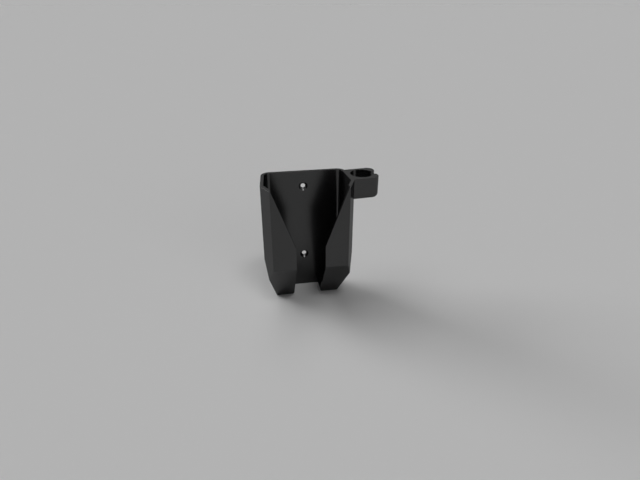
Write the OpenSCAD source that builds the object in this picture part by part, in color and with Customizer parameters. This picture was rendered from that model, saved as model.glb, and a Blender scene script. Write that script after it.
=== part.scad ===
// Wall pocket for a battery charger, with a ring for its plug.
// The wall plane is y = 0, the pocket opens upward and its front faces -Y.
// The origin lies on the wall plane, half-way between the two screws.

/* [Pocket] */
// Width of the flat front face
front_w = 72.5; // [60:0.5:84]
// Outer width across the shoulders, the widest part
shoulder_w = 87; // [82:0.5:130]
// Distance from the front face back to the shoulders
shoulder_in = 16.5; // [10:0.5:20]
// Outer width across the back plate
back_w = 81; // [66:1:110]
// Depth from the wall to the front face
pocket_d = 52; // [50:1:80]
// Height of the pocket
pocket_h = 129; // [110:1:200]
// Thickness of the walls
wall = 3; // [2:0.1:4]
// Thickness of the floor
floor_t = 3; // [2:0.1:6]
// Outer radius of the two back corners
back_corner_r = 9; // [5:0.5:14]

/* [Lower chamfers] */
// Height at which the front starts to lean back
front_chamfer_h = 48; // [20:0.5:60]
// How far the front has moved back at the bottom
front_chamfer_in = 31; // [5:0.5:34]
// Height at which the sides start to lean in
side_chamfer_h = 53.5; // [20:0.5:70]
// How far each side has moved in at the bottom
side_chamfer_in = 10; // [2:0.5:14]

/* [Front opening] */
// Width of the V cut at the top edge
v_top_w = 71; // [50:0.5:72]
// Height at which the V cut runs into the slot
v_bottom_h = 71; // [60:1:90]
// Width of the slot through the front and the floor
slot_w = 28; // [12:1:36]
// Radius on the lower corners of the two feet
foot_corner_r = 2.5; // [0.5:0.5:5]

/* [Screw holes] */
// Diameter of the screw holes
screw_d = 4.5; // [3:0.1:5.5]
// Diameter of the countersinks
head_d = 8.8; // [6.5:0.1:10]
// Full angle of the countersinks
head_angle = 90; // [80:5:110]
// Height of the lower hole above the bottom edge
screw_low_h = 37.5; // [15:0.5:50]
// Distance between the two holes
screw_spacing = 76; // [40:1:90]

/* [Plug ring] */
// Bore of the ring
ring_bore_d = 22; // [14:0.5:24]
// Height of the ring, measured down from the top edge
ring_h = 21.2; // [10:0.1:40]
// Material between the bore and the pocket's side
ring_root = 1.5; // [1:0.5:6]
// Material in front of the bore
ring_front_wall = 3.5; // [2.5:0.1:5]
// Material behind the bore
ring_rear_wall = 3; // [2.5:0.1:5]
// Material between the bore and the end of the front arm
ring_end = 2.7; // [2.5:0.1:8]
// How much further out the rear arm reaches
rear_arm_extra = 1.1; // [0:0.1:4]
// Width of the gap that lets the cord in
ring_gap = 8; // [5:0.5:11]
// Distance from the wall plane to the back of the ring
ring_setback = 5.5; // [0:0.1:7]
// Radius on the upright corners of the ring
ring_corner_r = 6; // [5:0.5:8]
// Radius round the underside of the ring
ring_under_r = 4.5; // [1:0.5:5]
// Radius on the outer edges of the gap
gap_outer_r = 1.8; // [0.5:0.1:2.2]
// Radius on the inner edges of the gap
gap_inner_r = 1.5; // [0.5:0.1:1.8]

/* [Hidden] */
$fn = 96;
// Overrun of a cut past the face that it opens
over = 1;
// Arcs stand this little proud of the flat faces that they run into, so that the two cross at a clear point
proud = 0.002;
// Larger than any part of the body, for half spaces
reach = 2 * (shoulder_w + pocket_d + pocket_h);
// Where the front face ends and where the shoulder stands, on the right side
front_end = [front_w / 2, -pocket_d];
shoulder = [shoulder_w / 2, shoulder_in - pocket_d];
// Angle of the facet between the two, from the front face
facet_turn = atan2(shoulder_in, (shoulder_w - front_w) / 2);
// Angle between each side wall and the depth direction
flare = atan2((shoulder_w - back_w) / 2, pocket_d - shoulder_in);
// Angles of the leaning faces, from upright
front_lean = atan2(front_chamfer_in, front_chamfer_h);
side_lean = atan2(side_chamfer_in, side_chamfer_h);
// Height of the origin above the bottom edge
origin_h = screw_low_h + screw_spacing / 2;
// Depth of the countersink cone
head_depth = (head_d - screw_d) / 2 / tan(head_angle / 2);
// Reach of the ring block in front of the bore's axis and behind it
ring_bore_r = ring_bore_d / 2;
front_reach = ring_bore_r + ring_front_wall;
rear_reach = ring_bore_r + ring_rear_wall;
// Where the bore's axis and the ends of the two arms stand, measured from the side wall's outer face
ring_bore_x = ring_root + ring_bore_r;
front_tip = ring_bore_x + ring_bore_r + ring_end;
rear_tip = front_tip + rear_arm_extra;

// Centre of a back corner's arcs: the same for the outer face and for the cavity
function back_centre() =
    [shoulder.x - (back_corner_r - (back_corner_r + shoulder.y) * sin(flare)) / cos(flare), -back_corner_r];

// Point at the given angle on a circle
function on_arc(centre, r, angle) = centre + r * [cos(angle), sin(angle)];

// Corner between two faces that look along the angles a and b, both moved in by the inset
function moved_in(corner, a, b, inset) = on_arc(corner, -inset / cos((b - a) / 2), (a + b) / 2);

// Corners of the plan's right half, from the front face round to the back
function right_half(inset) =
    let (facet = facet_turn - 90, centre = back_centre(), r = back_corner_r - inset)
    [
        moved_in(front_end, -90, facet, inset),
        moved_in(shoulder, facet, flare, inset),
        on_arc(centre, r, flare),
        on_arc(centre, r, 90)
    ];

// Plan of the pocket, moved in by the same amount on all four sides
module plan(inset) {
    right = right_half(inset);
    left = [for (i = [3:-1:0]) [-right[i].x, right[i].y]];
    polygon(concat(right, left));
    intersection() {
        translate([-reach / 2, inset - pocket_d]) square([reach, pocket_d - 2 * inset]);
        for (side = [-1, 1])
            scale([side, 1])
                translate(back_centre())
                    circle(r = back_corner_r - inset + proud);
    }
}

// Everything behind the leaning front face, moved in by the inset
module behind_front(inset) {
    top = pocket_h + 2 * over;
    face = function (z) (front_chamfer_h - z) * tan(front_lean) + inset / cos(front_lean) - pocket_d;
    rotate([90, 0, 90])
        linear_extrude(height = reach, center = true)
            polygon([[face(-over), -over], [reach, -over], [reach, top], [face(top), top]]);
}

// Everything between the two leaning side faces, moved in by the inset
module between_sides(inset) {
    top = pocket_h + 2 * over;
    face = function (z) (z - side_chamfer_h) * tan(side_lean) - inset / cos(side_lean);
    intersection_for (side = [0, 1])
        mirror([side, 0, 0])
            translate(shoulder)
                rotate([90, 0, flare])
                    linear_extrude(height = reach, center = true)
                        polygon([[-reach, -over], [face(-over), -over], [face(top), top], [-reach, top]]);
}

// Body of the pocket from one height to another: the outside with no inset, the cavity with the wall's
module pocket_form(inset, low, high) {
    intersection() {
        translate([0, 0, low])
            linear_extrude(height = high - low)
                plan(inset);
        behind_front(inset);
        between_sides(inset);
    }
}

// The V, seen from the front: its two edges run on to a point between the sides of the slot
module v_outline() {
    slope = (v_top_w - slot_w) / 2 / (pocket_h - v_bottom_h);
    top = pocket_h + over;
    top_half = v_top_w / 2 + slope * over;
    polygon([[0, v_bottom_h - slot_w / 2 / slope], [top_half, top], [-top_half, top]]);
}

// The slot, seen from the front, with the rounded lower corners of the feet
module slot_outline() {
    translate([-slot_w / 2, -over]) square([slot_w, pocket_h + 2 * over]);
    for (side = [-1, 1]) scale([side, 1]) foot_rounding();
}

// What a rounded lower corner leaves out beside the slot
module foot_rounding() {
    difference() {
        translate([slot_w / 2 - over, -over]) square([foot_corner_r + over, foot_corner_r + over]);
        translate([slot_w / 2 + foot_corner_r, foot_corner_r]) circle(r = foot_corner_r);
        translate([slot_w / 2 + foot_corner_r, -2 * over]) square([over, over]);
    }
}

// The V cuts the front only, the slot also cuts the floor, up to the back plate
module front_opening() {
    translate([0, -pocket_d / 2, 0])
        rotate([90, 0, 0])
            linear_extrude(height = pocket_d)
                v_outline();
    translate([0, -wall, 0])
        rotate([90, 0, 0])
            linear_extrude(height = pocket_d)
                slot_outline();
}

// One screw hole through the back plate, countersunk from inside the pocket
module screw_hole(h) {
    translate([0, 0, h])
        rotate([90, 0, 0]) {
            translate([0, 0, -over]) cylinder(d = screw_d, h = wall + 2 * over);
            translate([0, 0, wall - head_depth]) cylinder(d1 = screw_d, d2 = head_d, h = head_depth);
            translate([0, 0, wall]) cylinder(d = head_d, h = over);
        }
}

// Post at one corner of the ring block, with the underside's radius turned round it
module ring_post() {
    rotate_extrude()
        union() {
            square([ring_corner_r - ring_under_r, ring_h + over]);
            translate([0, ring_under_r]) square([ring_corner_r, ring_h + over - ring_under_r]);
            intersection() {
                translate([ring_corner_r - ring_under_r, ring_under_r]) circle(r = ring_under_r);
                square([ring_corner_r, ring_h]);
            }
        }
}

// Upright section of the ring block, with its lower outer corner rounded
module ring_section(start, end) {
    translate([start, 0]) square([end - ring_under_r - start, ring_h + over]);
    translate([start, ring_under_r]) square([end - start, ring_h + over - ring_under_r]);
    translate([end - ring_under_r, ring_under_r]) circle(r = ring_under_r);
}

// One half of the ring's block, out to its tip: x runs out from the pocket's side, y from the bore's axis
module ring_half(tip, half_d) {
    root = -wall / 2;
    flat = half_d - ring_corner_r;
    translate([tip - ring_corner_r, flat, 0]) ring_post();
    translate([root, 0, 0])
        rotate([90, 0, 90])
            linear_extrude(height = tip - ring_corner_r - root)
                ring_section(-over, half_d);
    translate([0, flat, 0])
        rotate([90, 0, 0])
            linear_extrude(height = flat + over)
                ring_section(root, tip);
}

// What the gap's rounded edges leave out beside one arm, seen from above, with the bore at the origin
module gap_rounding(tip) {
    half = ring_gap / 2;
    outer = tip - ring_bore_x;
    inner_x = sqrt(pow(ring_bore_r + gap_inner_r, 2) - pow(half + gap_inner_r, 2));
    inner_c = [inner_x, half + gap_inner_r];
    difference() {
        translate([outer - gap_outer_r, half - over]) square([gap_outer_r + over, gap_outer_r + over]);
        translate([outer - gap_outer_r, half + gap_outer_r]) circle(r = gap_outer_r + proud);
    }
    difference() {
        polygon([[0, 0], [inner_x, half - over], inner_c]);
        translate(inner_c) circle(r = gap_inner_r + proud);
    }
}

// Plan of everything cut out of the ring: bore, gap and the rounding of the gap's edges
module ring_cut() {
    circle(d = ring_bore_d);
    translate([0, -ring_gap / 2]) square([rear_tip, ring_gap]);
    gap_rounding(rear_tip);
    mirror([0, 1]) gap_rounding(front_tip);
}

// Moves what follows to the right side wall: x runs out from its outer face, y along it from the shoulder
module on_right_side(along) {
    translate(shoulder)
        rotate([0, 0, flare])
            translate([0, along, 0])
                children();
}

// The ring stands square to the flared side wall and runs past the top edge, to be cut level with it
module ring() {
    along = (pocket_d - shoulder_in - ring_setback) / cos(flare) - rear_reach;
    on_right_side(along)
        translate([0, 0, pocket_h - ring_h])
            difference() {
                union() {
                    ring_half(rear_tip, rear_reach);
                    mirror([0, 1, 0]) ring_half(front_tip, front_reach);
                }
                translate([ring_bore_x, 0, -over])
                    linear_extrude(height = ring_h + 3 * over)
                        ring_cut();
            }
}

// Pocket, ring and holes, moulded as one piece, with one level cut along the top
module holder() {
    color([0.04, 0.04, 0.043])
        translate([0, 0, -origin_h])
            difference() {
                union() {
                    pocket_form(0, 0, pocket_h + over);
                    ring();
                }
                translate([-reach / 2, -reach / 2, pocket_h]) cube([reach, reach, 2 * over]);
                pocket_form(wall, floor_t, pocket_h + over / 2);
                front_opening();
                screw_hole(screw_low_h);
                screw_hole(screw_low_h + screw_spacing);
            }
}

holder();
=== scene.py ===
import math

import bpy
from mathutils import Matrix, Vector


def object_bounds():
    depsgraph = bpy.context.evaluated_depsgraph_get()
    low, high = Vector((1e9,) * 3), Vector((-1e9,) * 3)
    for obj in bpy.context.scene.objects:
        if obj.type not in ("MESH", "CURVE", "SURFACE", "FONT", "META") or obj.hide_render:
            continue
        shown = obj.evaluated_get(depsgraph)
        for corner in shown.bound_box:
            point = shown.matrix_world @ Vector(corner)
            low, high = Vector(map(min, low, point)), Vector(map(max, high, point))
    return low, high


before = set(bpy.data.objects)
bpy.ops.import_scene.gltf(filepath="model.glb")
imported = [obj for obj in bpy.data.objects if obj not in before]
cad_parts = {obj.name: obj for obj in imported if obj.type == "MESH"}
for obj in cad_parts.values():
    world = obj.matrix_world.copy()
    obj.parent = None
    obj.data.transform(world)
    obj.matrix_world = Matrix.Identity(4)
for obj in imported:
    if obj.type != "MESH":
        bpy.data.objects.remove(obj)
cadBox = [list(corner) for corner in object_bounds()]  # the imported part's own box, before anything is added
print("frame loaded:", sorted(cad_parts))


class Wire:
    # A shader socket that adds a Math node when it meets an operator

    def __init__(self, tree, socket):
        self.tree, self.socket = tree, socket

    def math(self, operation, *operands):
        return addNode(self.tree, "ShaderNodeMath", {"operation": operation}, dict(enumerate(operands)))

    def __add__(self, other):
        return self.math("ADD", self, other)

    def __sub__(self, other):
        return self.math("SUBTRACT", self, other)

    def __rsub__(self, other):
        return self.math("SUBTRACT", other, self)

    def __mul__(self, other):
        return self.math("MULTIPLY", self, other)

    def __truediv__(self, other):
        return self.math("DIVIDE", self, other)

    def __rtruediv__(self, other):
        return self.math("DIVIDE", other, self)

    def __abs__(self):
        return self.math("ABSOLUTE", self)

    def clamped(self):
        return addNode(self.tree, "ShaderNodeClamp", {}, {"Value": self})

    __radd__, __rmul__ = __add__, __mul__


def addNode(tree, kind, settings, inputs, output=0):
    # settings go first, because they change which sockets a node has
    node = tree.nodes.new(kind)
    for name, value in settings.items():
        setattr(node, name, value)
    for name, value in inputs.items():
        if isinstance(value, Wire):
            tree.links.new(value.socket, node.inputs[name])
        else:
            node.inputs[name].default_value = value
    return Wire(tree, node.outputs[output])


def emptyMaterial(name):
    material = bpy.data.materials.new(name)
    material.use_nodes = True
    material.node_tree.nodes.clear()
    return material, material.node_tree


def finishTree(tree, shader, kind="ShaderNodeOutputMaterial"):
    output = tree.nodes.new(kind)
    tree.links.new(shader.socket, output.inputs["Surface"])


def dotProduct(tree, first, second):
    settings = {"operation": "DOT_PRODUCT"}
    return addNode(tree, "ShaderNodeVectorMath", settings, {0: first, 1: second}, "Value")


def noise(tree, place, scale, detail):
    inputs = {"Vector": place, "Scale": scale, "Detail": detail}
    return addNode(tree, "ShaderNodeTexNoise", {"noise_dimensions": "3D"}, inputs, "Fac")


def stretched(tree, place, scale):
    return addNode(tree, "ShaderNodeMapping", {}, {"Vector": place, "Scale": scale})


def centred(pattern):
    # noise lies between 0 and 1, and this lies as far below 0 as above it
    return pattern - 0.5


def blended(mask, low, high):
    # plain blend of two numbers by a mask
    return mask * (high - low) + low


def blendedColour(tree, mask, low, high):
    # inputs 6 and 7 and output 2 are the Mix node's sockets for colour
    inputs = {"Factor": mask, 6: (*low, 1), 7: (*high, 1)}
    return addNode(tree, "ShaderNodeMix", {"data_type": "RGBA"}, inputs, 2)


# Moulded black plastic: lengths are in metres, and scales in repeats for each metre
plastic = {
    "colour": (0.0065, 0.0065, 0.0068),
    "wornColour": (0.022, 0.022, 0.023),
    "specular": 0.8,
    "ior": 1.5,
    "roughness": 0.20,
    # the share of the gloss that is gone is mutedMost - mutedFrom / reflection: none head-on, 0.7 edge-on
    "mutedMost": 0.75,
    "mutedFrom": 0.051,
    "fresnelIor": 1.67,        # gives nearly the head-on reflection of specular and ior
    "dullRoughness": 0.7,      # roughness where the gloss is gone
    "cloudScale": 26.0,        # one patch of the slow drift every few centimetres
    "cloudDetail": 3.0,
    "cloudRoughness": 0.05,
    "streakScale": (900, 900, 40),  # fine upright streaks
    "streakDetail": 2.0,
    "streakRoughness": 0.03,
    "grainScale": 2600.0,
    "grainDetail": 2.0,
    "grainHeight": 0.000006,
    "edgeRadius": 0.0002,      # rounding that the shading gives to the sharp edges
    "edgeSamples": 8,
    "edgeGain": 8.0,           # how soon a rounded normal counts as an edge
    "edgeWear": 0.5,
    "wearPatches": (2.0, -0.4),  # spread and offset of the drift that breaks the wear up
}


def satinBlack(look):
    material, tree = emptyMaterial("satinBlack")
    place = addNode(tree, "ShaderNodeTexCoord", {}, {}, "Object")
    grain = noise(tree, place, look["grainScale"], look["grainDetail"])
    cloud = noise(tree, place, look["cloudScale"], look["cloudDetail"])
    # the stretch sets the size of the streaks, so their noise keeps a scale of 1
    streaks = noise(tree, stretched(tree, place, look["streakScale"]), 1.0, look["streakDetail"])
    # an edge is where the rounded normal leaves the flat one
    settings, inputs = {"samples": look["edgeSamples"]}, {"Radius": look["edgeRadius"]}
    rounded = addNode(tree, "ShaderNodeBevel", settings, inputs)
    flat = addNode(tree, "ShaderNodeNewGeometry", {}, {}, "Normal")
    edge = ((1 - dotProduct(tree, rounded, flat)) * look["edgeGain"]).clamped()
    spread, offset = look["wearPatches"]
    wear = edge * (cloud * spread + offset).clamped() * look["edgeWear"]
    colour = blendedColour(tree, wear, look["colour"], look["wornColour"])
    drift = centred(cloud) * look["cloudRoughness"] + centred(streaks) * look["streakRoughness"]
    bump = addNode(tree, "ShaderNodeBump", {}, {
        "Distance": look["grainHeight"], "Height": grain, "Normal": rounded})
    satin = addNode(tree, "ShaderNodeBsdfPrincipled", {}, {
        "Base Color": colour, "Roughness": drift + look["roughness"], "Normal": bump,
        "IOR": look["ior"], "Specular IOR Level": look["specular"]})
    # the fine grain takes part of the gloss away where the surface is seen at a low angle
    dull = addNode(tree, "ShaderNodeBsdfPrincipled", {}, {
        "Base Color": colour, "Roughness": look["dullRoughness"], "Normal": bump,
        "IOR": look["ior"], "Specular IOR Level": 0.0})
    fresnel = addNode(tree, "ShaderNodeFresnel", {}, {"IOR": look["fresnelIor"], "Normal": bump})
    muted = (look["mutedMost"] - look["mutedFrom"] / fresnel).clamped()
    finishTree(tree, addNode(tree, "ShaderNodeMixShader", {}, {"Fac": muted, 1: satin, 2: dull}))
    return material


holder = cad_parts["holder"]
holder.data.materials.clear()
holder.data.materials.append(satinBlack(plastic))
print("plastic done")

# Floor: a wide pale sheet just under the feet
floorData = {
    "gap": 0.0001,             # metres between the feet and the sheet
    "half": 30.0,              # half its width in metres
    "level": 0.755,            # makes the lit floor as bright as the backdrop
}


def paleFloor(floor):
    mesh = bpy.data.meshes.new("floorSheet")
    lowest = cadBox[0][2]
    h, z = floor["half"], lowest - floor["gap"]
    mesh.from_pydata([(-h, -h, z), (h, -h, z), (h, h, z), (-h, h, z)], [], [(0, 1, 2, 3)])
    sheet = bpy.data.objects.new("floorSheet", mesh)
    bpy.context.scene.collection.objects.link(sheet)
    material, tree = emptyMaterial("paleFloor")
    grey = (floor["level"], floor["level"], floor["level"], 1)
    finishTree(tree, addNode(tree, "ShaderNodeBsdfDiffuse", {}, {"Color": grey}))
    mesh.materials.append(material)


paleFloor(floorData)
print("floor done")

# Light: soft boxes painted on a nearly dark room, so that the floor is lit evenly out to its far edge.
# A box's middle is in degrees around from +X and up from the horizon, and its half width and half
# height are at unit distance, as the softness of its rim is.
light = {
    "room": 0.02,
    "backdrop": 0.445,
    "softness": 0.08,
    "boxes": {
        "key": {"around": 147.6, "up": 22.6, "half": (0.306, 0.306), "level": 3.75},
        "keyCore": {"around": 138.4, "up": 2.7, "half": (0.093, 0.182), "level": 13.9},
        "top": {"around": 139.9, "up": 66.0, "half": (0.649, 0.202), "level": 1.95},
        "front": {"around": 291.4, "up": 17.7, "half": (0.35, 0.314), "level": 1.01},
        "window": {"around": 286.0, "up": 63.0, "half": (0.15, 0.09), "level": 8.6},
    },
}


def softStep(tree, value, limit, softness):
    # 1 inside the limit, 0 outside, with a smooth band between
    return addNode(tree, "ShaderNodeMapRange", {"interpolation_type": "SMOOTHSTEP"}, {
        "Value": value, "From Min": limit - softness / 2, "From Max": limit + softness / 2,
        "To Min": 1.0, "To Max": 0.0})


def softBox(tree, direction, box, softness):
    # a direction is projected on a plane that faces the box's middle, where the box is a rectangle
    around, up = math.radians(box["around"]), math.radians(box["up"])
    middle = Vector((math.cos(up) * math.cos(around), math.cos(up) * math.sin(around), math.sin(up)))
    side = Vector((-math.sin(around), math.cos(around), 0))
    ahead = dotProduct(tree, direction, middle)
    across = abs(dotProduct(tree, direction, side) / ahead)
    height = abs(dotProduct(tree, direction, middle.cross(side)) / ahead)
    facing = ahead.math("GREATER_THAN", ahead, 0.0)
    halfWidth, halfHeight = box["half"]
    inside = softStep(tree, across, halfWidth, softness) * softStep(tree, height, halfHeight, softness)
    return inside * facing * box["level"]


def studioWorld(studio):
    world = bpy.data.worlds.new("studioWorld")
    bpy.context.scene.world = world
    world.use_nodes = True
    tree = world.node_tree
    tree.nodes.clear()
    direction = addNode(tree, "ShaderNodeTexCoord", {}, {}, "Generated")
    byCamera, byGloss, byGlass = (addNode(tree, "ShaderNodeLightPath", {}, {}, "Is " + ray + " Ray")
                                  for ray in ("Camera", "Glossy", "Transmission"))
    boxes = 0.0
    for box in studio["boxes"].values():
        boxes = softBox(tree, direction, box, studio["softness"]) + boxes
    # the camera sees the backdrop alone, and gloss and glass show it together with the boxes
    surround = blended((byCamera + byGloss + byGlass).clamped(), studio["room"], studio["backdrop"])
    strength = surround + boxes * (1 - byCamera)
    back = addNode(tree, "ShaderNodeBackground", {}, {"Color": (1, 1, 1, 1), "Strength": strength})
    finishTree(tree, back, "ShaderNodeOutputWorld")


studioWorld(light)
print("light done")

# Camera: stands where the photograph was taken from, with no shift
camera = {
    "place": (-0.05590, -0.42192, 0.20086),
    "turn": 9.8499,            # degrees to the right of straight ahead
    "down": 27.8077,           # degrees below the horizon
    "focal": 456.25,           # pixels, in a picture of the width below
    "pictureWidth": 640,
    "sensorWidth": 36.0,       # millimetres
    "clip": (0.01, 200),       # nearest and furthest that it sees, in metres
}


def photoCamera(view):
    data = bpy.data.cameras.new("photoCamera")
    data.sensor_width = view["sensorWidth"]
    data.lens = view["focal"] / view["pictureWidth"] * view["sensorWidth"]
    data.clip_start, data.clip_end = view["clip"]
    cam = bpy.data.objects.new("photoCamera", data)
    bpy.context.scene.collection.objects.link(cam)
    turn, down = math.radians(view["turn"]), math.radians(view["down"])
    ahead = Vector((math.sin(turn) * math.cos(down), math.cos(turn) * math.cos(down), -math.sin(down)))
    right = Vector((math.cos(turn), -math.sin(turn), 0))
    up = right.cross(ahead)
    cam.matrix_world = Matrix.Translation(view["place"]) @ Matrix((right, up, -ahead)).transposed().to_4x4()
    bpy.context.scene.camera = cam


photoCamera(camera)
bpy.context.scene.view_settings.view_transform = "Standard"
print("camera done")
